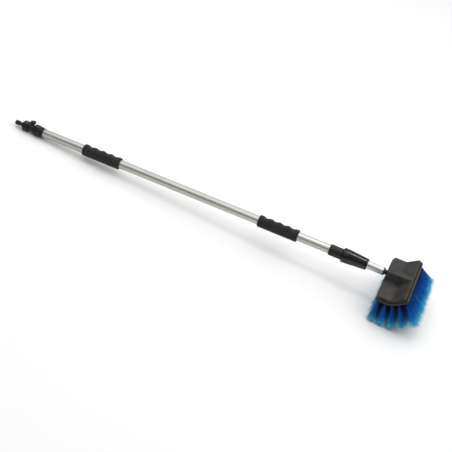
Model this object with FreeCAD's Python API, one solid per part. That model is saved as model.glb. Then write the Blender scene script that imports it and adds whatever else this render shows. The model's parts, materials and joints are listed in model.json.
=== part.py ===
import FreeCAD, Part
import math
import os

# Telescopic flow-through wash brush.  Every piece is drawn along its pole: X runs along the pole
# from the hose nipple towards the brush, Z is up, and the pole's centre line is the X axis.
# At the end the whole brush is tipped by its rest angle, so that it lies on a floor on the
# hose end's nut and on the bristle tips.

# ---- driving dimensions, in millimetres and degrees ----
outer_tube_od = 32.0
inner_tube_od = 28.4
tube_wall = 1.0
waterway_r = 5.0
fit_gap = 0.05              # radial clearance of parts that sit in one another
thread_r = 13.2             # 3/4 inch pipe thread
washer_r = 12.4
washer_bore_r = 5.6
nipple_r = 8.8              # ridges of the quick-connect hose nipple
nipple_bore_r = 4.5
inlet_nut_flats = 34.0
outlet_nut_flats = 36.4
grip_r = 22.3
grip_length = 153.0
grip_valley_depth = 3.4
lock_base_r = 20.2

# places along the pole
nipple_tip_x = 2.0
nipple_flange_x = 40.0
valve_inlet_x = 46.0
ball_x = 70.5
valve_outlet_x = 96.5
plug_x = 98.5
cap_x = 115.0
outer_tube_x = 118.0
piston_x = 149.0
inner_tube_x = 163.0
rear_grip_x = 296.5
front_grip_x = 1009.0
lock_base_x = 1281.5
sleeve_x = 1331.0
outer_tube_end_x = 1326.0
collet_x = 1353.0
sleeve_end_x = 1424.0
inner_tube_end_x = 1482.0
neck_x = 1487.5
head_x = 1494.0

# brush head
head_length = 271.0         # along Y, over the bristle block
left_wing = 51.3            # wing that lies along the pole
right_wing = 55.5           # wing that rises past the pole
wing_angle = 36.0
wing_drop = 12.6            # left wing's top face below the pole's centre line
valley_r = 25.0
cover_depth = 10.0
cover_inset = 4.5           # ledge of the block that shows round the cover
cover_wall = 2.6
cover_rim_r = 2.6
gasket_depth = 0.8
block_depth = 7.2
corner_r = 12.0
boss_x = 1496.5
boss_top = 15.8
boss_top_half_width = 12.0
boss_foot_half_width = 27.0     # where the boss's sloping sides meet the left wing
boss_shoulder_r = 8.0
spigot_r = 10.4             # 1/2 inch pipe thread

# bristles
row_places = (14.0, 37.2, 60.4, 83.6, 106.8)    # along the block's under face, from its left edge
row_leans = (-2.0, 5.0, 16.0, 29.0, 42.0)       # lean of each row towards +X
row_lengths = (84.0, 87.0, 89.0, 89.0, 88.0)
tufts_per_row = 21
tuft_pitch = 12.0
tuft_splay = 15.0           # lengthwise lean of the end tufts
tuft_root_r = 3.2
tuft_tip_r = 5.6
tuft_seat = 6.0             # depth of a tuft's blind hole

outer_tube_r = outer_tube_od / 2
inner_tube_r = inner_tube_od / 2
outer_bore_r = outer_tube_r - tube_wall
inner_bore_r = inner_tube_r - tube_wall
block_top = cover_depth + gasket_depth
block_bottom = block_top + block_depth


def vec(x, y=0.0, z=0.0):
    return FreeCAD.Vector(x, y, z)


def turned(*corners):
    """Solid of revolution about the pole's centre line, from (x, radius) corners."""
    points = [vec(x, 0, r) for x, r in corners]
    face = Part.Face(Part.makePolygon(points + points[:1]))
    return face.revolve(vec(0), vec(1), 360)


def ring(x0, x1, inner_r, outer_r):
    return turned((x0, inner_r), (x0, outer_r), (x1, outer_r), (x1, inner_r))


def o_ring(x, inner_r, outer_r):
    section_r = (outer_r - inner_r) / 2
    return Part.makeTorus(inner_r + section_r, section_r, vec(x), vec(1))


def rod(x0, x1, r):
    return Part.makeCylinder(r, x1 - x0, vec(x0), vec(1))


def upright(r, z0, z1, x, y=0.0):
    return Part.makeCylinder(r, z1 - z0, vec(x, y, z0), vec(0, 0, 1))


def cut_all(solid, tools):
    for tool in tools:
        solid = solid.cut(tool)
    return solid


def polygon_wire(x, flats, sides=6, turn=0.0):
    """Closed regular polygon across the pole, with a flat facing straight down."""
    corner_radius = flats / 2 / math.cos(math.pi / sides)
    points = []
    for i in range(sides + 1):
        angle = math.radians(turn) - math.pi / 2 + (i + 0.5) * 2 * math.pi / sides
        points.append(vec(x, corner_radius * math.cos(angle), corner_radius * math.sin(angle)))
    return Part.makePolygon(points)


def prism(x0, x1, flats, sides=6):
    return Part.Face(polygon_wire(x0, flats, sides)).extrude(vec(x1 - x0))


def nut(x0, x1, flats, bevel, front_hole_r, shoulder_x, thread_bore_r, cone_r=0.0, cone_length=0.0):
    """Hexagon union nut: front hole, shoulder, then its thread bore; an optional front cone."""
    corner_radius = flats / math.sqrt(3)
    outline = turned((x0, 0), (x0, corner_radius - bevel), (x0 + bevel, corner_radius),
                     (x1 - bevel, corner_radius), (x1, corner_radius - bevel), (x1, 0))
    body = prism(x0, x1, flats).common(outline)
    if cone_length:
        cone = turned((x0 - cone_length, 0), (x0 - cone_length, cone_r),
                      (x0, flats / 2 - 0.4), (x0 + 0.5, flats / 2 - 0.4), (x0 + 0.5, 0))
        body = body.fuse(cone)
    body = body.cut(rod(x0 - cone_length - 1, x1 + 1, front_hole_r))
    return body.cut(rod(shoulder_x, x1 + 1, thread_bore_r)).removeSplitter()


# ---- hose end: nipple, union nuts and ball valve ----

def hose_end():
    parts = {}
    seal_x = 12.0
    groove_r = 6.6
    neck_r = 7.2
    ridge = nipple_tip_x + 7.5
    parts["hose_nipple"] = turned(
        (nipple_tip_x, nipple_bore_r), (nipple_tip_x, nipple_r - 1.2), (nipple_tip_x + 1.2, nipple_r),
        (ridge, nipple_r), (ridge, groove_r), (14.5, groove_r), (14.5, nipple_r), (18.5, nipple_r),
        (20.5, neck_r), (nipple_flange_x, neck_r), (nipple_flange_x, washer_r),
        (nipple_flange_x + 4, washer_r), (nipple_flange_x + 4, nipple_bore_r))
    parts["nipple_seal"] = o_ring(seal_x, groove_r + fit_gap, nipple_r - 0.1)
    parts["inlet_washer"] = ring(nipple_flange_x + 4, valve_inlet_x, washer_bore_r, washer_r)
    parts["inlet_nut"] = nut(37.0, 58.5, inlet_nut_flats, 1.6, neck_r + 0.3, nipple_flange_x,
                             thread_r + fit_gap, cone_r=9.5, cone_length=7.0)
    parts["outlet_nut"] = nut(84.5, 104.3, outlet_nut_flats, 1.6, 11.0, 93.0, thread_r + fit_gap)
    parts["outlet_washer"] = ring(valve_outlet_x, plug_x, washer_bore_r, washer_r)
    return parts


def ball_valve():
    parts = {}
    ball_r = 9.0
    chamber_r = 9.8
    chamber_half = 10.0
    barrel_r = 14.7
    barrel_x0 = 59.3
    barrel_x1 = 83.4
    outlet_shoulder_x = 93.0
    turret_top = 18.5
    stem_r = 3.5
    stem_top = 26.0
    body = turned(
        (valve_inlet_x, waterway_r), (valve_inlet_x, thread_r), (barrel_x0, thread_r),
        (barrel_x0, barrel_r - 1), (barrel_x0 + 1, barrel_r), (barrel_x1 - 1, barrel_r),
        (barrel_x1, barrel_r - 1), (barrel_x1 + 0.6, 10.7), (outlet_shoulder_x, 10.7),
        (outlet_shoulder_x, washer_r), (valve_outlet_x, washer_r), (valve_outlet_x, waterway_r))
    body = body.fuse(upright(7.6, 10.5, turret_top, ball_x))
    chamber = rod(ball_x - chamber_half, ball_x + chamber_half, chamber_r)
    waterway = rod(valve_inlet_x - 1, valve_outlet_x + 1, waterway_r)
    stem_hole = upright(stem_r + fit_gap, 0, turret_top + 1, ball_x)
    parts["valve_body"] = cut_all(body, [chamber, waterway, stem_hole]).removeSplitter()

    seat_hollow = Part.makeSphere(ball_r + fit_gap, vec(ball_x), vec(1))
    seat_depth = 4.4
    seat_places = {"inlet_seat": ball_x - chamber_half, "outlet_seat": ball_x + chamber_half - seat_depth}
    for name, x in seat_places.items():
        seat = ring(x, x + seat_depth, waterway_r, chamber_r - fit_gap)
        parts[name] = seat.cut(seat_hollow)

    slot_floor = ball_r - 2.4
    tang = Part.makeBox(6.0, 2.2, 2.4, vec(ball_x - 3.0, -1.1, slot_floor))
    slot = Part.makeBox(20.0, 2.3, 4.0, vec(ball_x - 10.0, -1.15, slot_floor))
    ball = Part.makeSphere(ball_r, vec(ball_x), vec(1)).cut(rod(ball_x - 12, ball_x + 12, waterway_r))
    parts["valve_ball"] = ball.cut(slot)
    screw_r = 1.5
    seal_z = 14.0
    stem = upright(stem_r, ball_r + 0.1, stem_top, ball_x).fuse(tang)
    stem = stem.fuse(upright(1.0, ball_r - 1.0, ball_r + 0.2, ball_x))
    seal_groove = upright(stem_r + 1, seal_z - 0.6, seal_z + 0.6, ball_x)
    seal_groove = seal_groove.cut(upright(stem_r - 0.9, seal_z - 1, seal_z + 1, ball_x))
    screw_hole = upright(screw_r + fit_gap, 17.0, stem_top + 1, ball_x)
    parts["valve_stem"] = cut_all(stem, [seal_groove, screw_hole]).removeSplitter()
    parts["stem_seal"] = Part.makeTorus(stem_r - 0.45, 0.43, vec(ball_x, 0, seal_z), vec(0, 0, 1))

    # thumb lever: a round hub and a wing that rises towards the pole while the valve is open
    hub_bottom = turret_top + 0.4
    wing_bottom = 21.9
    wing_half = 4.3
    outline = ((ball_x - 5.5, wing_bottom), (ball_x - 5.5, 29.6), (ball_x - 4.0, 31.0),
               (ball_x + 12.0, 35.4), (ball_x + 14.0, 34.0), (ball_x + 14.0, wing_bottom))
    corners = [vec(x, -wing_half, z) for x, z in outline]
    wing = Part.Face(Part.makePolygon(corners + corners[:1])).extrude(vec(0, 2 * wing_half))
    wing = wing.makeFillet(1.6, [e for e in wing.Edges if lies_on_side(e, wing_half, wing_bottom)])
    hub = upright(6.6, hub_bottom, hub_bottom + 6.5, ball_x)
    stem_socket = upright(stem_r + fit_gap, hub_bottom - 1, stem_top + 0.1, ball_x)
    screw_seat = 29.2
    head_depth = 1.6
    head_pocket = upright(3.2, screw_seat, 40.0, ball_x)
    shank_hole = upright(screw_r + 0.1, stem_top, screw_seat + 1, ball_x)
    parts["valve_lever"] = cut_all(hub.fuse(wing), [stem_socket, head_pocket, shank_hole]).removeSplitter()
    screw = upright(3.0, screw_seat, screw_seat + head_depth, ball_x)
    screw = screw.fuse(upright(screw_r, 17.5, screw_seat + 1, ball_x))
    cross = Part.makeBox(4.0, 0.9, 1.2, vec(ball_x - 2.0, -0.45, screw_seat + 0.8))
    parts["lever_screw"] = cut_all(screw, [cross, turned_about(cross, ball_x, 90)]).removeSplitter()
    return parts


def lies_on_side(edge, half, above):
    """True for an edge in one of the two side faces at y = +-half, higher than the underside."""
    centre = edge.CenterOfMass
    return abs(abs(centre.y) - half) < 0.01 and centre.z > above + 0.5


def is_along(edge, axis):
    """True for a straight edge along X (0), Y (1) or Z (2)."""
    if not isinstance(edge.Curve, Part.Line):
        return False
    return abs(edge.Curve.Direction[axis]) > 0.999


def turned_about(shape, x, angle):
    copy = shape.copy()
    copy.rotate(vec(x), vec(0, 0, 1), angle)
    return copy


# ---- handle pole: end plug, outer tube, foam grips ----

def handle_pole():
    parts = {}
    plug_end = 146.0
    plug_r = outer_bore_r - fit_gap
    cap_r = 17.7
    groove_r = plug_r - 1.8
    seal_places = (129.5, 138.5)
    plug = turned(
        (plug_x, waterway_r), (plug_x, thread_r - 0.8), (plug_x + 0.8, thread_r), (cap_x, thread_r),
        (cap_x, cap_r - 0.8), (cap_x + 0.8, cap_r), (124.0, cap_r), (124.0, outer_tube_r + fit_gap),
        (outer_tube_x, outer_tube_r + fit_gap), (outer_tube_x, plug_r), (plug_end, plug_r),
        (plug_end, waterway_r))
    grooves = [ring(x - 1.0, x + 1.0, groove_r, plug_r + 1) for x in seal_places]
    parts["pole_end_plug"] = cut_all(plug, grooves)
    seals = [o_ring(x, groove_r + 0.02, outer_bore_r - 0.02) for x in seal_places]
    parts["plug_seals"] = Part.makeCompound(seals)
    lock_ring = prism(105.0, 114.4, 38.4, 12).cut(rod(104, 116, thread_r + fit_gap))
    edge_cone = turned((105.0, 0), (105.0, 19.0), (106.0, 20.2), (113.4, 20.2), (114.4, 19.0), (114.4, 0))
    parts["plug_lock_ring"] = lock_ring.common(edge_cone)
    parts["outer_tube"] = ring(outer_tube_x, outer_tube_end_x, outer_bore_r, outer_tube_r)
    parts["rear_grip"] = foam_grip(rear_grip_x)
    parts["front_grip"] = foam_grip(front_grip_x)
    return parts


def foam_grip(x0):
    """Foam sleeve with rounded ends and four shallow finger valleys along one side."""
    end_r = 4.0
    x1 = x0 + grip_length
    grip = ring(x0, x1, outer_tube_r + fit_gap, grip_r)
    rims = [e for e in grip.Edges if isinstance(e.Curve, Part.Circle) and e.Curve.Radius > grip_r - 0.01]
    grip = grip.makeFillet(end_r, rims)
    valley_pitch = 33.0
    valley_half = 15.0
    cutter_r = (valley_half ** 2 + grip_valley_depth ** 2) / (2 * grip_valley_depth)
    reach = grip_r - grip_valley_depth + cutter_r
    side = 55.0                                   # valleys face up and over to the +Y side
    up = vec(0, math.cos(math.radians(side)), math.sin(math.radians(side)))
    across = vec(0, -up.z, up.y)
    for i in range(4):
        x = x0 + grip_length / 2 + (i - 1.5) * valley_pitch
        centre = vec(x) + up * reach - across * 40
        grip = grip.cut(Part.makeCylinder(cutter_r, 80, centre, across))
    return grip


# ---- twist lock between the tubes ----

def twist_lock():
    parts = {}
    guide_r = inner_tube_r + 0.08
    thread = 17.8
    shoulder_x = outer_tube_end_x
    parts["lock_base"] = turned(
        (lock_base_x, outer_tube_r + fit_gap), (lock_base_x, lock_base_r - 1.6),
        (lock_base_x + 1.6, lock_base_r), (1329.0, lock_base_r), (1330.0, lock_base_r - 1),
        (1330.0, thread), (collet_x - 1, thread), (collet_x - 1, guide_r), (shoulder_x, guide_r),
        (shoulder_x, outer_tube_r + fit_gap))

    collet_end = 1397.0
    collet = turned((collet_x, guide_r), (collet_x, 17.4), (collet_x + 6, 17.4), (collet_end, 15.9),
                    (collet_end, guide_r))
    slits = []
    for i in range(3):
        slit = Part.makeBox(collet_end - collet_x, 40, 2.0, vec(collet_x + 9, -20, -1.0))
        slit.rotate(vec(0), vec(1), 60 * i)
        slits.append(slit)
    parts["lock_collet"] = cut_all(collet, slits)

    # sleeve: six flats meet a rounded taper, over a bore that wedges the collet
    stations = ((sleeve_x, 26.4), (1352.0, 25.7), (1376.0, 23.7), (1400.0, 21.6), (sleeve_end_x, 20.0))
    envelope = turned((sleeve_x, 0), (sleeve_x, 24.9), (sleeve_x + 1.5, 26.4), *stations[1:-1],
                      (sleeve_end_x - 1.5, 20.1), (sleeve_end_x, 18.6), (sleeve_end_x, 0))
    flat_share = 0.925
    flat_turn = -9.0
    wires = [polygon_wire(x, 2 * r * flat_share, turn=flat_turn) for x, r in stations]
    outside = envelope.common(Part.makeLoft(wires, True, True))
    hollow = turned((sleeve_x - 1, 0), (sleeve_x - 1, thread + 0.08), (collet_x + 1, thread + 0.08),
                    (collet_end + 1, 16.3), (collet_end + 1, guide_r + 0.3),
                    (sleeve_end_x + 1, guide_r + 0.3), (sleeve_end_x + 1, 0))
    wiper_x = 1412.0
    wiper_groove = rod(wiper_x, wiper_x + 4, 17.0)
    parts["lock_sleeve"] = cut_all(outside, [hollow, wiper_groove])
    parts["wiper_ring"] = ring(wiper_x + fit_gap, wiper_x + 4 - fit_gap, guide_r, 17.0 - fit_gap)
    return parts


# ---- inner pole: tube, tail seals and the brush adapter ----

def inner_pole():
    parts = {}
    piston_r = outer_bore_r - 0.25
    groove_r = 12.9
    barrel_r = inner_bore_r - fit_gap
    seal_places = (152.5, 159.0)
    piston = turned((piston_x, waterway_r), (piston_x, piston_r), (inner_tube_x, piston_r),
                    (inner_tube_x, barrel_r), (inner_tube_x + 18, barrel_r), (inner_tube_x + 18, waterway_r))
    grooves = [ring(x - 1.1, x + 1.1, groove_r, piston_r + 1) for x in seal_places]
    parts["tail_piston"] = cut_all(piston, grooves)
    parts["piston_seals"] = Part.makeCompound(
        [o_ring(x, groove_r + 0.02, outer_bore_r - 0.05) for x in seal_places])
    parts["inner_tube"] = ring(inner_tube_x, inner_tube_end_x, inner_bore_r, inner_tube_r)
    parts["tail_bush"] = ring(inner_tube_x + 0.5, inner_tube_x + 32, inner_tube_r + fit_gap,
                              outer_bore_r - fit_gap)
    parts["bush_stop_ring"] = ring(inner_tube_x + 32.5, inner_tube_x + 35.5, inner_tube_r + 0.02,
                                   outer_bore_r - 0.25)

    spigot_x = head_x + 2.5
    spigot_end = 1521.0
    neck_r = 8.8
    seal_x = 1456.0
    adapter = turned((1446.0, waterway_r), (1446.0, barrel_r - 0.8), (1447.0, barrel_r),
                     (inner_tube_end_x, barrel_r), (inner_tube_end_x, inner_tube_r - 0.2),
                     (neck_x, inner_tube_r - 0.2), (neck_x, neck_r), (spigot_x, neck_r),
                     (spigot_x, spigot_r), (spigot_end - 1, spigot_r), (spigot_end, spigot_r - 1),
                     (spigot_end, waterway_r))
    pin_x = 1473.5
    pin_r = 1.8
    pin_root = 9.0
    pin_holes = rod_across(pin_x, pin_r + 0.02, pin_root, inner_tube_r + 2)
    adapter = adapter.cut(ring(seal_x - 1.0, seal_x + 1.0, barrel_r - 1.7, barrel_r + 1))
    parts["brush_adapter"] = adapter.cut(pin_holes)
    parts["inner_tube"] = parts["inner_tube"].cut(pin_holes)
    parts["adapter_seal"] = o_ring(seal_x, barrel_r - 1.68, inner_bore_r - 0.02)
    dome = Part.makeSphere(5.0, vec(pin_x, inner_tube_r + 0.9 - 5.0))
    dome = dome.common(Part.makeBox(12, 20, 12, vec(pin_x - 6, inner_tube_r - 0.6, -6)))
    dome = dome.cut(rod(pin_x - 10, pin_x + 10, inner_tube_r))
    pins = rod_across(pin_x, pin_r, pin_root, inner_tube_r)
    pins = [pin.fuse(mirrored(dome, side)) for pin, side in zip(pins.Solids, (1, -1))]
    parts["adapter_pins"] = Part.makeCompound(pins)
    parts["socket_washer"] = ring(spigot_end, spigot_end + 2.0, 5.6, spigot_r - 0.2)
    return parts


def rod_across(x, r, y0, y1):
    """Two short rods along Y, one on each side of the pole."""
    near = Part.makeCylinder(r, y1 - y0, vec(x, y0), vec(0, 1))
    far = Part.makeCylinder(r, y1 - y0, vec(x, -y0), vec(0, -1))
    return Part.makeCompound([near, far])


def mirrored(shape, side):
    if side > 0:
        return shape
    return shape.mirror(vec(0), vec(0, 1))


# ---- brush head ----

def section_point(depth, place):
    """Point (x, z) and outward lean of the bent surface at a depth below the cover's top face."""
    turn = math.radians(wing_angle)
    tangent = valley_r * math.tan(turn / 2)
    bend_r = valley_r + depth
    flat = left_wing - tangent
    if place <= flat:
        return head_x + place, -wing_drop - depth, 0.0
    centre_x = head_x + flat
    centre_z = valley_r - wing_drop
    angle = min((place - flat) / bend_r, turn)
    rest = place - flat - angle * bend_r
    x = centre_x + bend_r * math.sin(angle) + rest * math.cos(angle)
    z = centre_z - bend_r * math.cos(angle) + rest * math.sin(angle)
    return x, z, angle


def section_length(depth):
    turn = math.radians(wing_angle)
    return left_wing + right_wing - 2 * valley_r * math.tan(turn / 2) + (valley_r + depth) * turn


def bent_slab(top, bottom, inset, rounding):
    """Plate that follows the head's bend between two depths, inset from the head's outline."""
    flat = left_wing - valley_r * math.tan(math.radians(wing_angle) / 2)

    def path(depth):
        turn = (valley_r + depth) * math.radians(wing_angle)
        places = (inset, flat, flat + turn / 2, flat + turn, section_length(depth) - inset)
        y = inset - head_length / 2
        return [vec(p[0], y, p[1]) for p in (section_point(depth, place) for place in places)]

    upper = path(top)
    lower = path(bottom)
    edges = []
    for p in (upper, lower[::-1]):
        edges += [Part.makeLine(p[0], p[1]), Part.Arc(p[1], p[2], p[3]).toShape(), Part.makeLine(p[3], p[4])]
    edges += [Part.makeLine(upper[4], lower[4]), Part.makeLine(lower[0], upper[0])]
    face = Part.Face(Part.Wire(Part.__sortEdges__(edges)))
    slab = face.extrude(vec(0, head_length - 2 * inset))
    ends = (upper[0], upper[4], lower[0], lower[4])
    corners = [e for e in slab.Edges if joins_ends(e, ends)]
    return slab.makeFillet(rounding, corners)


def joins_ends(edge, ends):
    """True for the four short edges that run through the plate at its corners."""
    if is_along(edge, 1) or len(edge.Vertexes) != 2:
        return False
    flat = [vec(v.Point.x, 0, v.Point.z) for v in edge.Vertexes]
    places = [vec(p.x, 0, p.z) for p in ends]
    return all(min(f.distanceToPoint(p) for p in places) < 0.01 for f in flat)


def rim_edges(slab, depth):
    """Edges of the plate's upper outline, found on the bent surface at the given depth."""
    found = []
    for edge in slab.Edges:
        points = [edge.valueAt(edge.FirstParameter + share * (edge.LastParameter - edge.FirstParameter))
                  for share in (0.0, 0.5, 1.0)]
        if all(abs(depth_below_top(p) - depth) < 0.01 for p in points) and not crosses(edge):
            found.append(edge)
    return found


def crosses(edge):
    """True for the seams of the bend, which run from side to side inside the outline."""
    return is_along(edge, 1) and head_x + 5 < edge.CenterOfMass.x < head_x + left_wing + 20


def depth_below_top(point):
    turn = math.radians(wing_angle)
    centre_x = head_x + left_wing - valley_r * math.tan(turn / 2)
    centre_z = valley_r - wing_drop
    dx = point.x - centre_x
    dz = point.z - centre_z
    if dx <= 0:
        return -dz - valley_r
    if math.atan2(dx, -dz) >= turn:
        return dx * math.sin(turn) - dz * math.cos(turn) - valley_r
    return math.hypot(dx, dz) - valley_r


def across_block(place, depth, y, r, length):
    """Cylinder square to the block's under face, from a depth upwards; place is on the under face."""
    x, z, angle = section_point(block_bottom, place)
    inward = vec(-math.sin(angle), 0, math.cos(angle))
    return Part.makeCylinder(r, length, vec(x, y, z) + inward * (block_bottom - depth), inward)


def head_cover():
    inner_inset = cover_inset + cover_wall + 0.6
    cover = bent_slab(0, cover_depth, cover_inset, corner_r - cover_inset)
    cover = cover.makeFillet(cover_rim_r, rim_edges(cover, 0))
    chamber = bent_slab(cover_wall, cover_depth + 1, inner_inset, corner_r - inner_inset)
    cover = cover.cut(chamber)
    cover = cover.fuse(socket_boss()).removeSplitter()
    socket = rod(head_x - 1, 1523.0, spigot_r + fit_gap)
    turn_x = 1535.0
    passage = rod(1522.0, turn_x, waterway_r)
    cover = cut_all(cover, [socket, passage, upright(4.2, -wing_drop - 4, 0, turn_x)])
    for place, y in screw_places():
        post = across_block(place, cover_depth - 1.2, y, 3.6, cover_depth - 1.4 - cover_wall * 0.5)
        cover = cover.fuse(post)
        cover = cover.cut(across_block(place, cover_depth + 1, y, 1.55, 8.4))
    return cover


def socket_boss():
    """Boss over the adapter's socket, on sloping sides that run out on the rising wing."""
    reach = 95.0
    low = -wing_drop - 5
    slope = (boss_foot_half_width - boss_top_half_width) / (boss_top + wing_drop)
    low_half = boss_top_half_width + slope * (boss_top - low)
    corners = [vec(boss_x, y, z) for y, z in (
        (-low_half, low), (-boss_top_half_width, boss_top), (boss_top_half_width, boss_top), (low_half, low))]
    boss = Part.Face(Part.makePolygon(corners + corners[:1])).extrude(vec(reach))
    shoulders = [e for e in boss.Edges if is_along(e, 0) and e.CenterOfMass.z > 0]
    boss = boss.makeFillet(boss_shoulder_r, shoulders)
    front = [e for e in boss.Edges if abs(e.BoundBox.XMax - boss_x) < 0.01 and e.CenterOfMass.z > low + 1]
    boss = boss.makeFillet(1.2, front)
    return boss.cut(bent_slab(cover_wall * 0.6, 150, -120, 5.0)).removeSplitter()


def screw_places():
    between_rows = (row_places[1] + row_places[2]) / 2
    return [(between_rows, y) for y in (-105.0, -35.0, 35.0, 105.0)]


def tuft_axis(row, index):
    """Root point on the block's under face and direction of one tuft."""
    x, z, angle = section_point(block_bottom, row_places[row])
    y = (index - (tufts_per_row - 1) / 2) * tuft_pitch
    share = y / ((tufts_per_row - 1) / 2 * tuft_pitch)
    splay = math.radians(tuft_splay) * share * abs(share)
    lean = math.radians(row_leans[row])
    direction = vec(math.sin(lean) * math.cos(splay), math.sin(splay), -math.cos(lean) * math.cos(splay))
    return vec(x, y, z), direction


def brush_head():
    parts = {}
    parts["head_cover"] = head_cover()
    rim = cover_inset + 0.5
    gasket = bent_slab(cover_depth, block_top, rim, corner_r - rim)
    rim += 2.6
    parts["cover_gasket"] = gasket.cut(bent_slab(cover_depth - 1, block_top + 1, rim, corner_r - rim))

    block = bent_slab(block_top, block_bottom, 0, corner_r)
    block = block.makeFillet(1.2, rim_edges(block, block_bottom) + rim_edges(block, block_top))
    rim += 0.3
    plateau = bent_slab(cover_depth - 0.7, block_top + 0.5, rim, corner_r - rim)
    block = block.fuse(plateau).removeSplitter()
    holes = []
    for row in range(len(row_places)):
        for index in range(tufts_per_row):
            root, direction = tuft_axis(row, index)
            holes.append(Part.makeCylinder(tuft_root_r + fit_gap, tuft_seat + 4, root + direction * 4,
                                           direction * -1))
    jet_place = (row_places[2] + row_places[3]) / 2
    for i in range(8):
        y = (i - 3.5) * 30.0
        holes.append(across_block(jet_place, block_bottom + 1, y, 1.5, 14.0))
    for place, y in screw_places():
        holes.append(across_block(place, block_bottom + 1, y, 3.4, 3.4))
        holes.append(across_block(place, block_bottom + 1, y, 1.7, 14.0))
    parts["bristle_block"] = block.cut(Part.makeCompound(holes))

    screws = []
    for place, y in screw_places():
        head = across_block(place, block_bottom - 0.2, y, 3.2, 2.2)
        shank = across_block(place, block_bottom - 0.5, y, 1.5, 13.6)
        screws.append(head.fuse(shank).removeSplitter())
    parts["cover_screws"] = Part.makeCompound(screws)

    for row, length in enumerate(row_lengths):
        tufts = []
        for index in range(tufts_per_row):
            root, direction = tuft_axis(row, index)
            start = root - direction * (tuft_seat - 0.2)
            stub = Part.makeCylinder(tuft_root_r, tuft_seat - 0.2, start, direction)
            flare = Part.makeCone(tuft_root_r, tuft_tip_r, length, root, direction)
            tufts.append(stub.fuse(flare).removeSplitter())
        parts["bristle_row_%d" % (row + 1)] = Part.makeCompound(tufts)
    return parts


# ---- rest angle and place on the floor ----

def rest_angle():
    """Tilt that brings the inlet nut's front edge and the lowest bristle tips to one level."""
    nut_x = 38.6
    nut_bottom = inlet_nut_flats / 2
    angles = []
    for row, length in enumerate(row_lengths):
        root, direction = tuft_axis(row, tufts_per_row // 2)
        tip = root + direction * length
        drop = tuft_tip_r * math.sin(math.radians(row_leans[row]))
        angles.append(math.atan2(-tip.z + abs(drop) - nut_bottom, tip.x - nut_x))
    return math.degrees(max(angles))


def main():
    parts = {}
    for group in (hose_end, ball_valve, handle_pole, twist_lock, inner_pole, brush_head):
        parts.update(group())
    tilt = rest_angle()
    for shape in parts.values():
        shape.rotate(vec(0), vec(0, 1), -tilt)
    boxes = [shape.optimalBoundingBox(False, False) for shape in parts.values()]
    middle_x = (min(b.XMin for b in boxes) + max(b.XMax for b in boxes)) / 2
    middle_y = (min(b.YMin for b in boxes) + max(b.YMax for b in boxes)) / 2
    floor_z = min(b.ZMin for b in boxes)
    os.makedirs("parts", exist_ok=True)
    for name, shape in parts.items():
        shape.translate(vec(-middle_x, -middle_y, -floor_z))
        shape.exportStep("parts/%s.step" % name)
    print("rest tilt %.5f, nipple tip moved to (%.4f, %.4f, %.4f)" % (tilt, -middle_x, -middle_y, -floor_z))
    print("%d nodes" % len(parts))


main()
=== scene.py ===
import json
import math
import random

import bmesh
import bpy
import numpy as np
from mathutils import Matrix, Vector, noise


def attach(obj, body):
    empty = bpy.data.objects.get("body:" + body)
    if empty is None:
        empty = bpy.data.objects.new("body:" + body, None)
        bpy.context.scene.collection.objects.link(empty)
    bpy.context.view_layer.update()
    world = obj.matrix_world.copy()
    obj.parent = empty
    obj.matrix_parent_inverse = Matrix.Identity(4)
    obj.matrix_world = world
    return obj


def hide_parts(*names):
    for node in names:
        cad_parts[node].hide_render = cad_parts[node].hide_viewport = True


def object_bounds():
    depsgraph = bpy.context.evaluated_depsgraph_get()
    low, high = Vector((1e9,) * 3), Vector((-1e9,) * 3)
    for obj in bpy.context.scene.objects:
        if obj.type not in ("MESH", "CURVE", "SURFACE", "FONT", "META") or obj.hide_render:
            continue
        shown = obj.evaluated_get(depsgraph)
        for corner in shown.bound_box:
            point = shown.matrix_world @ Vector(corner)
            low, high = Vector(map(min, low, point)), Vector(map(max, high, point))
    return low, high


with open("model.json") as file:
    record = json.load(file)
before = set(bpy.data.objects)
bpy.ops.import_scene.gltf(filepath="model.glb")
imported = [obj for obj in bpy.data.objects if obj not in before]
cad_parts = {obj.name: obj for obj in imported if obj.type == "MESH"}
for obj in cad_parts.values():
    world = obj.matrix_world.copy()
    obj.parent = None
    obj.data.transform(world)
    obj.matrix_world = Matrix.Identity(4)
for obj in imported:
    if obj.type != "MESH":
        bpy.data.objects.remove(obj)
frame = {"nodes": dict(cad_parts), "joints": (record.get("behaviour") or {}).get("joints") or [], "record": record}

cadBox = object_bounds()
print("frame loaded,", len(frame["nodes"]), "nodes")

# The pole's own frame: x along the pole from the nipple's tip, y across it, z up from it.
joints = {joint["name"]: joint for joint in frame["joints"]}
alongPole = Vector(joints["telescopic_slide"]["axis"]).normalized()
upPole = Vector(joints["valve_lever_turn"]["axis"]).normalized()
acrossPole = upPole.cross(alongPole)
poleTurn = Matrix((alongPole, acrossPole, upPole)).transposed().to_4x4()
axisPoint = Vector(joints["inner_pole_turn"]["pos_m"])
nippleMesh = frame["nodes"]["hose_nipple"].data
firstX = min((v.co - axisPoint).dot(alongPole) for v in nippleMesh.vertices)
poleToRow = Matrix.Translation(axisPoint + alongPole * firstX) @ poleTurn
rowToPole = poleToRow.inverted()
poleAngle = math.asin(alongPole.z)


def span(node):
    # lowest and highest corner of a node in the pole's frame
    points = np.array([rowToPole @ v.co for v in frame["nodes"][node].data.vertices])
    return Vector(points.min(0)), Vector(points.max(0))


def lathe(bm, profile, steps):
    # spins (x, radius) points about the pole's centre line into a closed skin
    ring = [bm.verts.new((x, 0, r)) for x, r in profile]
    edges = [bm.edges.new((ring[i], ring[(i + 1) % len(ring)])) for i in range(len(ring))]
    bmesh.ops.spin(bm, geom=ring + edges, cent=(0, 0, 0), axis=(1, 0, 0), angle=2 * math.pi,
                   steps=steps, use_merge=True)
    bmesh.ops.remove_doubles(bm, verts=bm.verts, dist=1e-6)
    bmesh.ops.recalc_face_normals(bm, faces=bm.faces)


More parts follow.
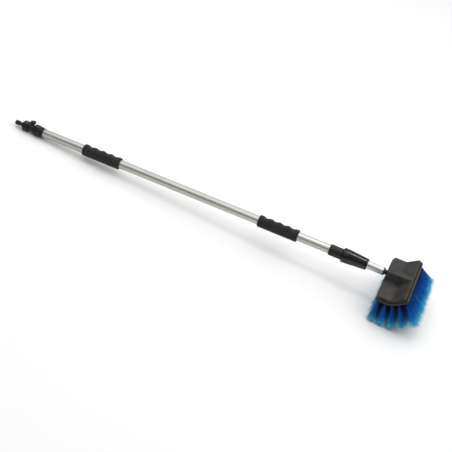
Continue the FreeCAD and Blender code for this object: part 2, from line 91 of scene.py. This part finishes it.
def roundEdges(bm, width):
    segments = 2
    limit = math.radians(25.0)
    sharp = [e for e in bm.edges if len(e.link_faces) == 2 and e.calc_face_angle(0.0) > limit]
    bmesh.ops.bevel(bm, geom=sharp, offset=width, offset_type="OFFSET", affect="EDGES",
                    segments=segments, profile=0.5, material=-1, clamp_overlap=True)


def finishPiece(name, bm, body, material, replaced=(), sharpAngle=32.0):
    # turns a bmesh in the pole's frame into a piece in the row's frame that rides on a body
    bm.transform(poleToRow)
    bmesh.ops.recalc_face_normals(bm, faces=bm.faces)
    mesh = bpy.data.meshes.new(name)
    bm.to_mesh(mesh)
    bm.free()
    mesh.shade_smooth()
    mesh.set_sharp_from_angle(angle=math.radians(sharpAngle))
    piece = bpy.data.objects.new(name, mesh)
    bpy.context.scene.collection.objects.link(piece)
    mesh.materials.append(material)
    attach(piece, body)
    if replaced:
        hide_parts(*replaced)
    return piece


def startMaterial(name, color, roughness, metallic=0.0):
    material = bpy.data.materials.new(name)
    material.use_nodes = True
    tree = material.node_tree
    shader = tree.nodes["Principled BSDF"]
    shader.inputs["Base Color"].default_value = (*color, 1)
    shader.inputs["Roughness"].default_value = roughness
    shader.inputs["Metallic"].default_value = metallic
    return material, tree, shader


def addNode(tree, kind, **inputs):
    node = tree.nodes.new(kind)
    for key, value in inputs.items():
        node.inputs[key.replace("_", " ")].default_value = value
    return node


def poleCoordinates(tree, scale=(1, 1, 1)):
    # object coordinates turned so that x runs along the pole
    source = tree.nodes.new("ShaderNodeTexCoord")
    mapping = tree.nodes.new("ShaderNodeMapping")
    mapping.vector_type = "TEXTURE"
    mapping.inputs["Rotation"].default_value = (0, -poleAngle, 0)
    tree.links.new(source.outputs["Object"], mapping.inputs["Vector"])
    stretch = tree.nodes.new("ShaderNodeMapping")
    stretch.inputs["Scale"].default_value = scale
    tree.links.new(mapping.outputs["Vector"], stretch.inputs["Vector"])
    return stretch.outputs["Vector"]


def noiseOn(tree, vector, scale, detail=3.0, rough=0.55):
    node = addNode(tree, "ShaderNodeTexNoise", Scale=scale, Detail=detail, Roughness=rough)
    tree.links.new(vector, node.inputs["Vector"])
    return node.outputs["Fac"]


def remap(tree, value, low, high, toLow, toHigh):
    node = addNode(tree, "ShaderNodeMapRange")
    for key, number in (("From Min", low), ("From Max", high),
                        ("To Min", toLow), ("To Max", toHigh)):
        node.inputs[key].default_value = number
    tree.links.new(value, node.inputs["Value"])
    return node.outputs["Result"]


def mixColors(tree, factor, first, second):
    node = tree.nodes.new("ShaderNodeMix")
    node.data_type = "RGBA"
    tree.links.new(factor, node.inputs["Factor"])
    for socket, color in ((node.inputs[6], first), (node.inputs[7], second)):
        if isinstance(color, bpy.types.NodeSocket):
            tree.links.new(color, socket)
        else:
            socket.default_value = (*color, 1)
    return node.outputs[2]


def addBump(tree, shader, heights):
    # heights: (socket, strength, distance in metres), finest last
    normal = None
    for socket, strength, distance in heights:
        bump = addNode(tree, "ShaderNodeBump", Strength=strength, Distance=distance)
        tree.links.new(socket, bump.inputs["Height"])
        if normal:
            tree.links.new(normal, bump.inputs["Normal"])
        normal = bump.outputs["Normal"]
    tree.links.new(normal, shader.inputs["Normal"])


plasticLook = {
    "cloudScale": 38.0,
    "scuffStretch": (60, 700, 420),     # makes the scuffs long and thin along the pole
    "scuffs": 0.5,                      # strength of the palest scuff
    "scuffPaler": 1.9,
    "smoother": 0.06,                   # how far the roughness falls and rises with the grain
    "rougher": 0.1,
    "ior": 1.5,
    "cloudBump": (0.05, 0.0006),        # strength and distance in m
    "grainDepth": 0.00012,              # m
}


def mouldedPlastic(name, color, paler, roughness, grain, grainSize=0.0006, gloss=0.3):
    # cloudy tone, fine grain and faint pale scuffs
    look = plasticLook
    material, tree, shader = startMaterial(name, color, roughness)
    vector = poleCoordinates(tree)
    cloud = noiseOn(tree, vector, look["cloudScale"], 4.0)
    tone = mixColors(tree, remap(tree, cloud, 0.35, 0.7, 0.0, 1.0), color, paler)
    scratch = noiseOn(tree, poleCoordinates(tree, look["scuffStretch"]), 1.0, 2.0)
    scuffShare = remap(tree, scratch, 0.66, 0.78, 0.0, look["scuffs"])
    scuffColor = tuple(min(1.0, c * look["scuffPaler"] + 0.01) for c in paler)
    tree.links.new(mixColors(tree, scuffShare, tone, scuffColor), shader.inputs["Base Color"])
    fine = noiseOn(tree, vector, 1.0 / grainSize, 3.0)
    grainRoughness = remap(tree, fine, 0.3, 0.7, roughness - look["smoother"],
                           roughness + look["rougher"])
    tree.links.new(grainRoughness, shader.inputs["Roughness"])
    shader.inputs["IOR"].default_value = look["ior"]
    shader.inputs["Specular IOR Level"].default_value = gloss
    addBump(tree, shader, ((cloud, *look["cloudBump"]), (fine, grain, look["grainDepth"])))
    return material


tubeLook = {
    "lineStretch": (2.5, 900, 900),     # draw lines run along the pole
    "cloudStretch": (9, 60, 60),
    "markStretch": (150, 90, 90),
    "marks": 0.35,                      # strength of the darkest handling mark
    "smoother": 0.07,                   # how far the roughness falls and rises with the lines
    "rougher": 0.09,
    "anisotropic": 0.35,
    "lineDepth": 0.00005,               # m
}


def drawnAluminium(name, color, darker, roughness, streak):
    # anodised tube: draw lines along the pole, faint handling marks
    look = tubeLook
    material, tree, shader = startMaterial(name, color, roughness, 1.0)
    lines = noiseOn(tree, poleCoordinates(tree, look["lineStretch"]), 1.0, 3.0)
    cloud = noiseOn(tree, poleCoordinates(tree, look["cloudStretch"]), 1.0, 4.0)
    marks = noiseOn(tree, poleCoordinates(tree, look["markStretch"]), 1.0, 5.0, 0.7)
    tone = mixColors(tree, remap(tree, cloud, 0.3, 0.75, 0.0, 1.0), color, darker)
    tone = mixColors(tree, remap(tree, marks, 0.62, 0.8, 0.0, look["marks"]), tone, darker)
    tree.links.new(tone, shader.inputs["Base Color"])
    lineRoughness = remap(tree, lines, 0.3, 0.7, roughness - look["smoother"],
                          roughness + look["rougher"])
    tree.links.new(lineRoughness, shader.inputs["Roughness"])
    shader.inputs["Anisotropic"].default_value = look["anisotropic"]
    addBump(tree, shader, ((lines, streak, look["lineDepth"]),))
    return material


foamLook = {
    "color": (0.013, 0.0125, 0.012),
    "dark": (0.0105, 0.0102, 0.0098),
    "pale": (0.021, 0.02, 0.019),
    # painted shade colour for the inside of the pores
    "pit": (0.004, 0.004, 0.004),
    "roughness": 0.92,
    "poreScale": 900.0,
    "lumpScale": 260.0,
    "cloudScale": 45.0,
    "gloss": 0.25,
    "sheen": 0.12,
    "sheenRoughness": 0.6,
    "cloudBump": (0.25, 0.0012),        # strength and distance in m
    "lumpBump": (0.35, 0.0005),
    "poreBump": (0.6, 0.0006),
}


def foamRubber(name):
    look = foamLook
    material, tree, shader = startMaterial(name, look["color"], look["roughness"])
    vector = poleCoordinates(tree)
    pores = addNode(tree, "ShaderNodeTexVoronoi", Scale=look["poreScale"])
    tree.links.new(vector, pores.inputs["Vector"])
    poreDistance = pores.outputs["Distance"]
    lumps = noiseOn(tree, vector, look["lumpScale"], 4.0)
    cloud = noiseOn(tree, vector, look["cloudScale"], 3.0)
    tone = mixColors(tree, remap(tree, cloud, 0.35, 0.7, 0.0, 1.0), look["dark"], look["pale"])
    # painted shade: the colour darkens towards each pore's centre
    pit = remap(tree, poreDistance, 0.0, 0.45, 0.55, 0.0)
    tree.links.new(mixColors(tree, pit, tone, look["pit"]), shader.inputs["Base Color"])
    shader.inputs["Specular IOR Level"].default_value = look["gloss"]
    shader.inputs["Sheen Weight"].default_value = look["sheen"]
    shader.inputs["Sheen Roughness"].default_value = look["sheenRoughness"]
    addBump(tree, shader, ((cloud, *look["cloudBump"]), (lumps, *look["lumpBump"]),
                           (poreDistance, *look["poreBump"])))
    return material


metalLook = {
    "fineScale": 700.0,
    "cloudScale": 120.0,
    "darker": 0.7,                      # darkest tone, as a share of the color
    "smoother": 0.7,                    # shares of the roughness over the grain
    "rougher": 1.4,
    "fineBump": (0.12, 0.00005),        # strength and distance in m
}


def machinedMetal(name, color, roughness):
    look = metalLook
    material, tree, shader = startMaterial(name, color, roughness, 1.0)
    vector = poleCoordinates(tree)
    fine = noiseOn(tree, vector, look["fineScale"], 3.0)
    cloud = noiseOn(tree, vector, look["cloudScale"], 3.0)
    darker = tuple(c * look["darker"] for c in color)
    tone = mixColors(tree, remap(tree, cloud, 0.4, 0.75, 0.0, 0.6), color, darker)
    tree.links.new(tone, shader.inputs["Base Color"])
    grainRoughness = remap(tree, fine, 0.3, 0.7, roughness * look["smoother"],
                           roughness * look["rougher"])
    tree.links.new(grainRoughness, shader.inputs["Roughness"])
    addBump(tree, shader, ((fine, *look["fineBump"]),))
    return material


filamentLook = {
    "color": (0.005, 0.075, 0.32),
    "roughness": 0.38,
    "gloss": 0.22,
    # painted shade: the root end of the ramp is darkened for the shade deep between the tufts
    "root": (0.002, 0.012, 0.08),
    "tip": (0.32, 0.82, 0.99),
    "between": ((0.34, (0.002, 0.12, 0.5)), (0.66, (0.003, 0.24, 0.82)),
                (0.77, (0.015, 0.46, 0.95)), (0.87, (0.12, 0.7, 0.98))),
    # painted shade colour, mixed in where filamentShade is low: fully for the gap fillers
    "shaded": (0.006, 0.018, 0.11),
}


def bristleFilament(name):
    # filament colour: painted shade makes it deep at the root, clear blue along it, pale where the tip is split
    look = filamentLook
    material, tree, shader = startMaterial(name, look["color"], look["roughness"])
    place = tree.nodes.new("ShaderNodeAttribute")
    place.attribute_name = "alongFilament"
    shade = tree.nodes.new("ShaderNodeAttribute")
    shade.attribute_name = "filamentShade"
    ramp = tree.nodes.new("ShaderNodeValToRGB")
    stops = ramp.color_ramp.elements
    stops[0].position = 0.0
    stops[0].color = (*look["root"], 1)
    stops[1].position = 1.0
    stops[1].color = (*look["tip"], 1)
    for position, color in look["between"]:
        stops.new(position).color = (*color, 1)
    tree.links.new(place.outputs["Fac"], ramp.inputs["Fac"])
    # painted shade: filaments with a low filamentShade are mixed towards the shade colour
    darkShare = remap(tree, shade.outputs["Fac"], 0.0, 0.7, 0.88, 0.0)
    dark = mixColors(tree, darkShare, ramp.outputs["Color"], look["shaded"])
    tree.links.new(dark, shader.inputs["Base Color"])
    shader.inputs["Specular IOR Level"].default_value = look["gloss"]
    return material


# plastics: color, paler color, roughness, grain; tubes: color, darker color, roughness, draw lines
materials = {
    "connector_plastic": mouldedPlastic("connectorPlastic", (0.010, 0.010, 0.0115),
                                        (0.018, 0.018, 0.02), 0.38, 0.25),
    "lock_plastic": mouldedPlastic("lockPlastic", (0.007, 0.0067, 0.0063),
                                   (0.013, 0.0122, 0.0115), 0.42, 0.3),
    "sleeve_plastic": mouldedPlastic("sleevePlastic", (0.002, 0.0018, 0.0017),
                                     (0.004, 0.0037, 0.0035), 0.17, 0.06, gloss=0.4),
    "outer_aluminium": drawnAluminium("outerAluminium", (0.54, 0.53, 0.5),
                                      (0.46, 0.445, 0.41), 0.42, 0.3),
    "inner_aluminium": drawnAluminium("innerAluminium", (0.64, 0.63, 0.605),
                                      (0.56, 0.55, 0.525), 0.28, 0.2),
    "grip_foam": foamRubber("gripFoam"),
    "seal_rubber": mouldedPlastic("sealRubber", (0.008, 0.008, 0.008),
                                  (0.014, 0.014, 0.014), 0.5, 0.2),
    "seat_plastic": mouldedPlastic("seatPlastic", (0.78, 0.77, 0.73), (0.84, 0.83, 0.8), 0.4, 0.1),
    "ball_chrome": machinedMetal("ballChrome", (0.8, 0.8, 0.81), 0.1),
    "stem_brass": machinedMetal("stemBrass", (0.72, 0.52, 0.22), 0.3),
    "fastener_steel": machinedMetal("fastenerSteel", (0.58, 0.57, 0.56), 0.32),
    "head_plastic": mouldedPlastic("headPlastic", (0.0145, 0.0132, 0.0112),
                                   (0.033, 0.0305, 0.0265), 0.4, 0.75, 0.0016),
    "block_plastic": mouldedPlastic("blockPlastic", (0.018, 0.0165, 0.0135),
                                    (0.03, 0.027, 0.022), 0.4, 0.6, 0.0014),
    "bush_plastic": mouldedPlastic("bushPlastic", (0.5, 0.5, 0.48), (0.58, 0.58, 0.56), 0.4, 0.15),
    "bristle_blue": bristleFilament("bristleBlue"),
}

slotOf = {part["node"]: part["material_slot"] for part in frame["record"]["subparts"]}
for nodeName, node in frame["nodes"].items():
    for holder in node.material_slots:
        holder.material = materials[slotOf[nodeName]]
print("materials ready")


# hard pieces are copied with their edges rounded: m, radius for each piece
edgeRounding = {
    "hose_nipple": 0.0005,
    "inlet_nut": 0.0007,
    "outlet_nut": 0.0007,
    "valve_body": 0.0005,
    "valve_lever": 0.0006,
    "plug_lock_ring": 0.0005,
    "pole_end_plug": 0.0004,
    "lock_base": 0.0005,
    "lock_sleeve": 0.0009,
    "brush_adapter": 0.0004,
    "outer_tube": 0.0003,
    "inner_tube": 0.0003,
}
bodies = frame["record"]["behaviour"]["bodies"]
bodyOf = {node: body for body, nodes in bodies.items() for node in nodes}


def roundedCopy(node, width):
    bm = bmesh.new()
    bm.from_mesh(frame["nodes"][node].data)
    bm.transform(rowToPole)
    bmesh.ops.remove_doubles(bm, verts=bm.verts, dist=2e-6)
    bmesh.ops.dissolve_limit(bm, angle_limit=math.radians(1.5), verts=bm.verts, edges=bm.edges,
                             use_dissolve_boundaries=False)
    roundEdges(bm, width)
    name = "".join(word.capitalize() for word in node.split("_"))
    slot = slotOf[node]
    finishPiece("rounded" + name, bm, bodyOf[node], materials[slot], (node,))


for node, width in edgeRounding.items():
    roundedCopy(node, width)
print("hard pieces rounded")


gripLook = {
    "endRound": 0.0042,         # m, radius of the rounded ends
    "valleys": 4,
    "valleyPitch": 0.033,
    "valleyDepth": 0.0036,
    "valleySide": 55.0,         # degrees from +Y up towards +Z
    "valleyReach": 75.0,        # degrees either side over which a valley fades
    "fade": 0.8,                # how fast it fades
    "lump": 0.00022,            # m, unevenness of the moulded foam
    "lumpScale": 55,
    "boreGap": 0.00005,         # m, between the tube and the foam
    "untouched": 0.0006,        # m, depth over the bore that stays as it is
    "roundSteps": 5,
    "lengthSteps": 110,
    "turnSteps": 128,
    "seed": 7,
}


def foamGrip(name, node):
    look = gripLook
    low, high = span(node)
    radius = (high.y - low.y) / 2
    innerRadius = span("outer_tube")[1].y + look["boreGap"]
    length = high.x - low.x
    middle = (low.x + high.x) / 2
    endRound, roundSteps = look["endRound"], look["roundSteps"]
    rounds = [math.radians(90 * i / roundSteps) for i in range(roundSteps + 1)]
    start = [(low.x + endRound * (1 - math.sin(a)), radius - endRound * (1 - math.cos(a)))
             for a in reversed(rounds)]
    end = [(2 * middle - x, r) for x, r in reversed(start)]
    count = look["lengthSteps"]
    firstFlat, lastFlat = start[-1][0], end[0][0]
    flat = [(firstFlat + (lastFlat - firstFlat) * i / count, radius) for i in range(1, count)]
    profile = [(low.x, innerRadius)] + start + flat + end + [(high.x, innerRadius)]
    bm = bmesh.new()
    lathe(bm, profile, look["turnSteps"])
    side = math.radians(look["valleySide"])
    toValley = Vector((0, math.cos(side), math.sin(side)))
    draw = random.Random(look["seed"])
    shift = Vector((draw.uniform(0, 9), draw.uniform(0, 9), draw.uniform(0, 9)))
    first = middle - look["valleyPitch"] * (look["valleys"] - 1) / 2
    for v in bm.verts:
        outward = Vector((0, v.co.y, v.co.z))
        if outward.length < innerRadius + look["untouched"]:
            continue
        outward.normalize()
        angle = math.degrees(outward.angle(toValley))
        fadeAngle = min(90.0, angle * 90 / look["valleyReach"])
        across = max(0.0, math.cos(math.radians(fadeAngle))) ** look["fade"]
        turns = (v.co.x - first) / look["valleyPitch"]
        inValley = 0.0
        if -0.5 < turns < look["valleys"] - 0.5:
            inValley = 0.5 + 0.5 * math.cos(2 * math.pi * turns)
        depth = look["valleyDepth"] * across * inValley
        lump = look["lump"] * bumpField(v.co * look["lumpScale"] + shift)
        v.co -= outward * (depth - lump)
    piece = finishPiece(name, bm, "handle_pole", materials["grip_foam"], (node,), 60.0)


def bumpField(point):
    return noise.noise(point) + 0.5 * noise.noise(point * 2.3)


foamGrip("rearGrip", "rear_grip")
foamGrip("frontGrip", "front_grip")
print("grips made")


bristleLook = {
    "filaments": 138,           # in each tuft
    "clumps": 9,                # locks that the filaments of a tuft gather into
    "clumpPull": 0.24,
    "fillEvery": 3,             # one filament in so many leans out into the gap between rows and is painted in the shade colour
    "fillReach": 1.25,
    "fillShorter": 0.021,       # m
    "thickness": 0.00062,       # m
    "rootRadius": 0.0031,
    "spreadAlong": 0.0082,      # m, half width of a tuft's tip along the row
    "spreadAcross": 0.0285,     # and across it
    "flarePower": 1.75,         # how late on its way a tuft opens
    "bow": 0.0012,              # m, random bend of a filament
    "uneven": 0.0022,           # m, scatter of the cut
    "unevenShare": 0.6,
    "longer": 0.0032,           # m, how far filaments pass the plain solid's tip
    "leanDrop": 0.6,            # how much a leaning filament loses in reach
    "bowShape": 1.6,
    "keepsPlace": 0.35,         # share of a tip's place across that follows its root
    "strays": 0.65,             # and the share that is random
    "spreadScatter": (0.85, 1.12),
    "thicknessScatter": (0.85, 1.2),
    "tuftShade": (0.3, 0.9),    # 0 is shaded, 1 is bright
    "clumpShade": 0.3,
    "ownShade": 0.12,
    "darkest": 0.34,
    "clumpCut": 0.0009,         # m, scatter of the cut from lock to lock
    "floorGap": 0.0003,         # m
    "endBand": 0.0004,          # m, band of points that is taken for a tuft's top or tip
    "seed": 21,
}

filamentShape = {
    # share of the length, share of the radius
    "stem": ((0.12, 1.0), (0.3, 1.0), (0.5, 1.0), (0.7, 0.95), (0.84, 0.9), (0.9, 0.35)),
    "hairs": 3,
    "hairTurn": 0.5,            # radians
    "hairRoot": 0.55,
    "hairTip": 0.2,
    "hairLength": 0.17,
    "hairMiddle": 0.915,
    "hairStart": 0.3,
    "hairSpread": 2.6,
}


def filamentTemplate():
    # one filament of unit length along z: a three-sided stem, then three fine hairs
    shape = filamentShape
    bm = bmesh.new()
    stem = bmesh.ops.create_circle(bm, cap_ends=True, segments=3, radius=1.0)
    cap = stem["verts"][0].link_faces[0]
    lowest = shape["stem"][0][0]
    for height, radius in shape["stem"]:
        lifted = bmesh.ops.extrude_face_region(bm, geom=[cap])
        ring = [v for v in lifted["geom"] if isinstance(v, bmesh.types.BMVert)]
        oldCap = cap
        cap = [f for f in lifted["geom"] if isinstance(f, bmesh.types.BMFace)][0]
        if oldCap.is_valid and height > lowest:
            bm.faces.remove(oldCap)
        size = math.hypot(ring[0].co.x, ring[0].co.y)
        for v in ring:
            v.co = Vector((v.co.x * radius / size, v.co.y * radius / size, height))
    length = shape["hairLength"]
    for i in range(shape["hairs"]):
        angle = 2 * math.pi * i / shape["hairs"] + shape["hairTurn"]
        hair = bmesh.ops.create_cone(bm, cap_ends=True, segments=3, radius1=shape["hairRoot"],
                                     radius2=shape["hairTip"], depth=length)
        for v in hair["verts"]:
            share = (v.co.z + length / 2) / length
            out = shape["hairStart"] + shape["hairSpread"] * share
            v.co.x += math.cos(angle) * out
            v.co.y += math.sin(angle) * out
            v.co.z += shape["hairMiddle"]
    bmesh.ops.recalc_face_normals(bm, faces=bm.faces)
    mesh = bpy.data.meshes.new("filament")
    bm.to_mesh(mesh)
    bm.free()
    return mesh


def tuftPlaces(node):
    # root, direction and length of each tuft, read from the row's separate tapers
    mesh = frame["nodes"][node].data
    copy = bmesh.new()
    copy.from_mesh(mesh)
    bmesh.ops.remove_doubles(copy, verts=copy.verts, dist=1e-6)
    copy.verts.ensure_lookup_table()
    seen = set()
    tufts = []
    for start in copy.verts:
        if start.index in seen:
            continue
        group, queue = [], [start]
        seen.add(start.index)
        while queue:
            v = queue.pop()
            group.append(rowToPole @ v.co)
            for edge in v.link_edges:
                other = edge.other_vert(v)
                if other.index not in seen:
                    seen.add(other.index)
                    queue.append(other)
        tufts.append(np.array(group))
    copy.free()
    places = []
    for points in tufts:
        centre = points.mean(0)
        axis = np.linalg.svd(points - centre)[2][0]
        if axis[2] > 0:
            axis = -axis
        reach = (points - centre) @ axis
        band = bristleLook["endBand"]
        top = points[reach < reach.min() + band].mean(0)
        tip = points[reach > reach.max() - band].mean(0)
        places.append((top, tip))
    return sorted(places, key=lambda place: place[0][1])


def discPoint(rng):
    turn = rng.uniform(0, 2 * math.pi)
    reach = math.sqrt(rng.uniform(0, 1))
    return reach * math.cos(turn), reach * math.sin(turn)


def bristleRow(name, node, template, seed, inward=0):
    # inward: side on which an outer row has its neighbour, 0 for a row between two others
    look = bristleLook
    rng = np.random.default_rng(seed)
    templatePoints = np.zeros(len(template.vertices) * 3)
    template.vertices.foreach_get("co", templatePoints)
    templatePoints = templatePoints.reshape(-1, 3)
    places = tuftPlaces(node)
    total = len(places) * look["filaments"]
    base = bpy.data.objects.new(name + "Base", template)
    bpy.context.scene.collection.objects.link(base)
    copies = base.modifiers.new("copies", "ARRAY")
    copies.count = total
    copies.use_relative_offset = False
    copies.use_constant_offset = True
    copies.constant_offset_displace = (0, 0, 0)
    depsgraph = bpy.context.evaluated_depsgraph_get()
    mesh = bpy.data.meshes.new_from_object(base.evaluated_get(depsgraph))
    bpy.data.objects.remove(base)
    mesh.name = name
    height = templatePoints[:, 2][:, None]
    allPoints, allAlong, allShade = [], [], []
    toRow = np.array(poleToRow)
    for number, (top, tip) in enumerate(places):
        atEnd = number in (0, len(places) - 1)
        line = tip - top
        length = np.linalg.norm(line)
        line /= length
        rowWay = np.array((0.0, 1.0, 0.0))
        rowWay -= line * (rowWay @ line)
        rowWay /= np.linalg.norm(rowWay)
        acrossWay = np.cross(rowWay, line)
        tuftShade = rng.uniform(*look["tuftShade"])
        clumps = []
        for _ in range(look["clumps"]):
            centre = discPoint(rng)
            scatter = (rng.normal() * look["clumpShade"], rng.normal() * look["clumpCut"])
            clumps.append(centre + scatter)
        for i in range(look["filaments"]):
            u, w = discPoint(rng)
            clumpU, clumpW, clumpShade, clumpCut = clumps[i % len(clumps)]
            root = top + (rowWay * u + acrossWay * w) * look["rootRadius"]
            fan = look["keepsPlace"] * w + look["strays"] * rng.uniform(-1, 1)
            tipU = u + (clumpU - u) * look["clumpPull"]
            tipW = fan + (clumpW - fan) * look["clumpPull"]
            spread = rowWay * tipU * look["spreadAlong"] + acrossWay * tipW * look["spreadAcross"]
            spread = spread * rng.uniform(*look["spreadScatter"])
            fills = i % look["fillEvery"] == 0 and not (atEnd and i % 2)
            if fills and inward:
                spread = rowWay * tipU * look["spreadAlong"]
                spread = spread + acrossWay * inward * abs(tipW) * look["spreadAcross"]
            if fills:
                spread = spread * look["fillReach"]
            shorter = abs(rng.normal()) * look["uneven"] * look["unevenShare"]
            cut = look["longer"] - shorter + clumpCut
            if fills:
                cut -= look["fillShorter"]
            drop = look["leanDrop"] * (spread @ spread) / length
            axisEnd = tip + line * (cut - drop)
            wander = (rowWay * rng.normal() + acrossWay * rng.normal()) * look["bow"]
            flare = height ** (1.0 if fills else look["flarePower"])
            path = (root * (1 - height) + axisEnd * height + spread * flare
                    + wander * height * (look["bowShape"] - height))
            thick = look["thickness"] / 2 * rng.uniform(*look["thicknessScatter"])
            twist = rng.uniform(0, 2 * math.pi)
            first = rowWay * math.cos(twist) + acrossWay * math.sin(twist)
            second = acrossWay * math.cos(twist) - rowWay * math.sin(twist)
            ring = templatePoints[:, :1] * first + templatePoints[:, 1:2] * second
            points = path + ring * thick
            allPoints.append(points)
            allAlong.append(height[:, 0])
            # gap fillers keep shade 0, which paints them in the shade colour of the gaps
            shade = 0.0
            if not fills:
                ownShade = rng.normal() * look["ownShade"]
                shade = np.clip(tuftShade + clumpShade + ownShade, look["darkest"], 1)
            allShade.append(np.full(len(height), shade))
    points = np.concatenate(allPoints)
    points = points @ toRow[:3, :3].T + toRow[:3, 3]
    points[:, 2] = np.maximum(points[:, 2], cadBox[0].z + look["floorGap"])
    mesh.vertices.foreach_set("co", points.ravel())
    for label, values in (("alongFilament", allAlong), ("filamentShade", allShade)):
        layer = mesh.attributes.new(label, "FLOAT", "POINT")
        layer.data.foreach_set("value", np.concatenate(values).astype(np.float32))
    mesh.shade_smooth()
    mesh.update()
    piece = bpy.data.objects.new(name, mesh)
    bpy.context.scene.collection.objects.link(piece)
    mesh.materials.append(materials["bristle_blue"])
    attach(piece, "inner_pole")
    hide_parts(node)
    return piece


template = filamentTemplate()
for rowNumber, inward in ((1, -1), (2, 0), (3, 0), (4, 0), (5, 1)):
    row = bristleRow("bristleRow%d" % rowNumber, "bristle_row_%d" % rowNumber, template,
                     bristleLook["seed"] + rowNumber, inward)
print("bristles made,", len(row.data.vertices), "points in the last row")


# sizes and places in m, powers in W
studioLook = {
    "floor": (0.90, 0.90, 0.90),
    "floorSize": 30,
    "floorRoughness": 0.7,
    "floorCloud": 0.985,        # darkest patch, as a share of the floor's color
    "worldStrength": 0.26,
    "softboxSize": (13.0, 10.0),
    "softboxPlace": (0.0, 0.8, 4.0),
    "softboxPower": 500.0,
    "stripSize": (0.42, 0.07),
    "stripPlace": (0.52, 0.42, 1.9),
    "stripPower": 3.4,
    "rimSize": (1.6, 0.6),
    "rimPlace": (1.6, 2.2, 1.5),
    "rimPower": 4.0,
    "softboxAim": (0, 0, 0),
    "stripAim": (0.5, 0, 0),
    "rimAim": (0.4, 0, 0),
}

cameraLook = {
    "azimuth": 11.27,           # degrees round from straight ahead, towards +X
    "elevation": 35.31,
    "roll": 18.97,
    "distance": 3.311,          # m
    "lens": 72.3,               # mm on a 36 mm wide sensor
    "aim": (0.0720, 0.0, -0.0020),
}


def makeFloor():
    look = studioLook
    bm = bmesh.new()
    bmesh.ops.create_grid(bm, x_segments=2, y_segments=2, size=look["floorSize"])
    mesh = bpy.data.meshes.new("floor")
    bm.to_mesh(mesh)
    bm.free()
    floor = bpy.data.objects.new("floor", mesh)
    bpy.context.scene.collection.objects.link(floor)
    material, tree, shader = startMaterial("paleFloor", look["floor"], look["floorRoughness"])
    cloud = noiseOn(tree, poleCoordinates(tree), 1.2, 3.0)
    darker = tuple(c * look["floorCloud"] for c in look["floor"])
    tone = mixColors(tree, cloud, look["floor"], darker)
    tree.links.new(tone, shader.inputs["Base Color"])
    mesh.materials.append(material)


def areaLight(name, place, aim, size, power):
    light = bpy.data.lights.new(name, "AREA")
    light.shape = "RECTANGLE"
    light.size, light.size_y = size
    light.energy = power
    lamp = bpy.data.objects.new(name, light)
    lamp.location = place
    lamp.rotation_euler = (Vector(aim) - Vector(place)).to_track_quat("-Z", "Y").to_euler()
    bpy.context.scene.collection.objects.link(lamp)


def makeLights():
    look = studioLook
    world = bpy.data.worlds.new("studio")
    world.use_nodes = True
    background = world.node_tree.nodes["Background"]
    background.inputs["Color"].default_value = (1, 1, 1, 1)
    background.inputs["Strength"].default_value = look["worldStrength"]
    bpy.context.scene.world = world
    for name in ("softbox", "strip", "rim"):
        areaLight(name, look[name + "Place"], look[name + "Aim"], look[name + "Size"],
                  look[name + "Power"])
    view = bpy.context.scene.view_settings
    view.view_transform = "Standard"
    view.look = "None"


def makeCamera():
    look = cameraLook
    azimuth, elevation = math.radians(look["azimuth"]), math.radians(look["elevation"])
    back = Vector((math.sin(azimuth) * math.cos(elevation),
                   -math.cos(azimuth) * math.cos(elevation),
                   math.sin(elevation)))
    data = bpy.data.cameras.new("view")
    data.lens = look["lens"]
    data.sensor_width = 36.0
    data.clip_end = 100.0
    camera = bpy.data.objects.new("view", data)
    turn = (-back).to_track_quat("-Z", "Y").to_matrix()
    roll = Matrix.Rotation(math.radians(look["roll"]), 3, "Z")
    place = Matrix.Translation(Vector(look["aim"]) + back * look["distance"])
    camera.matrix_world = place @ (turn @ roll).to_4x4()
    bpy.context.scene.collection.objects.link(camera)
    bpy.context.scene.camera = camera


makeFloor()
makeLights()
makeCamera()
print("stage set")
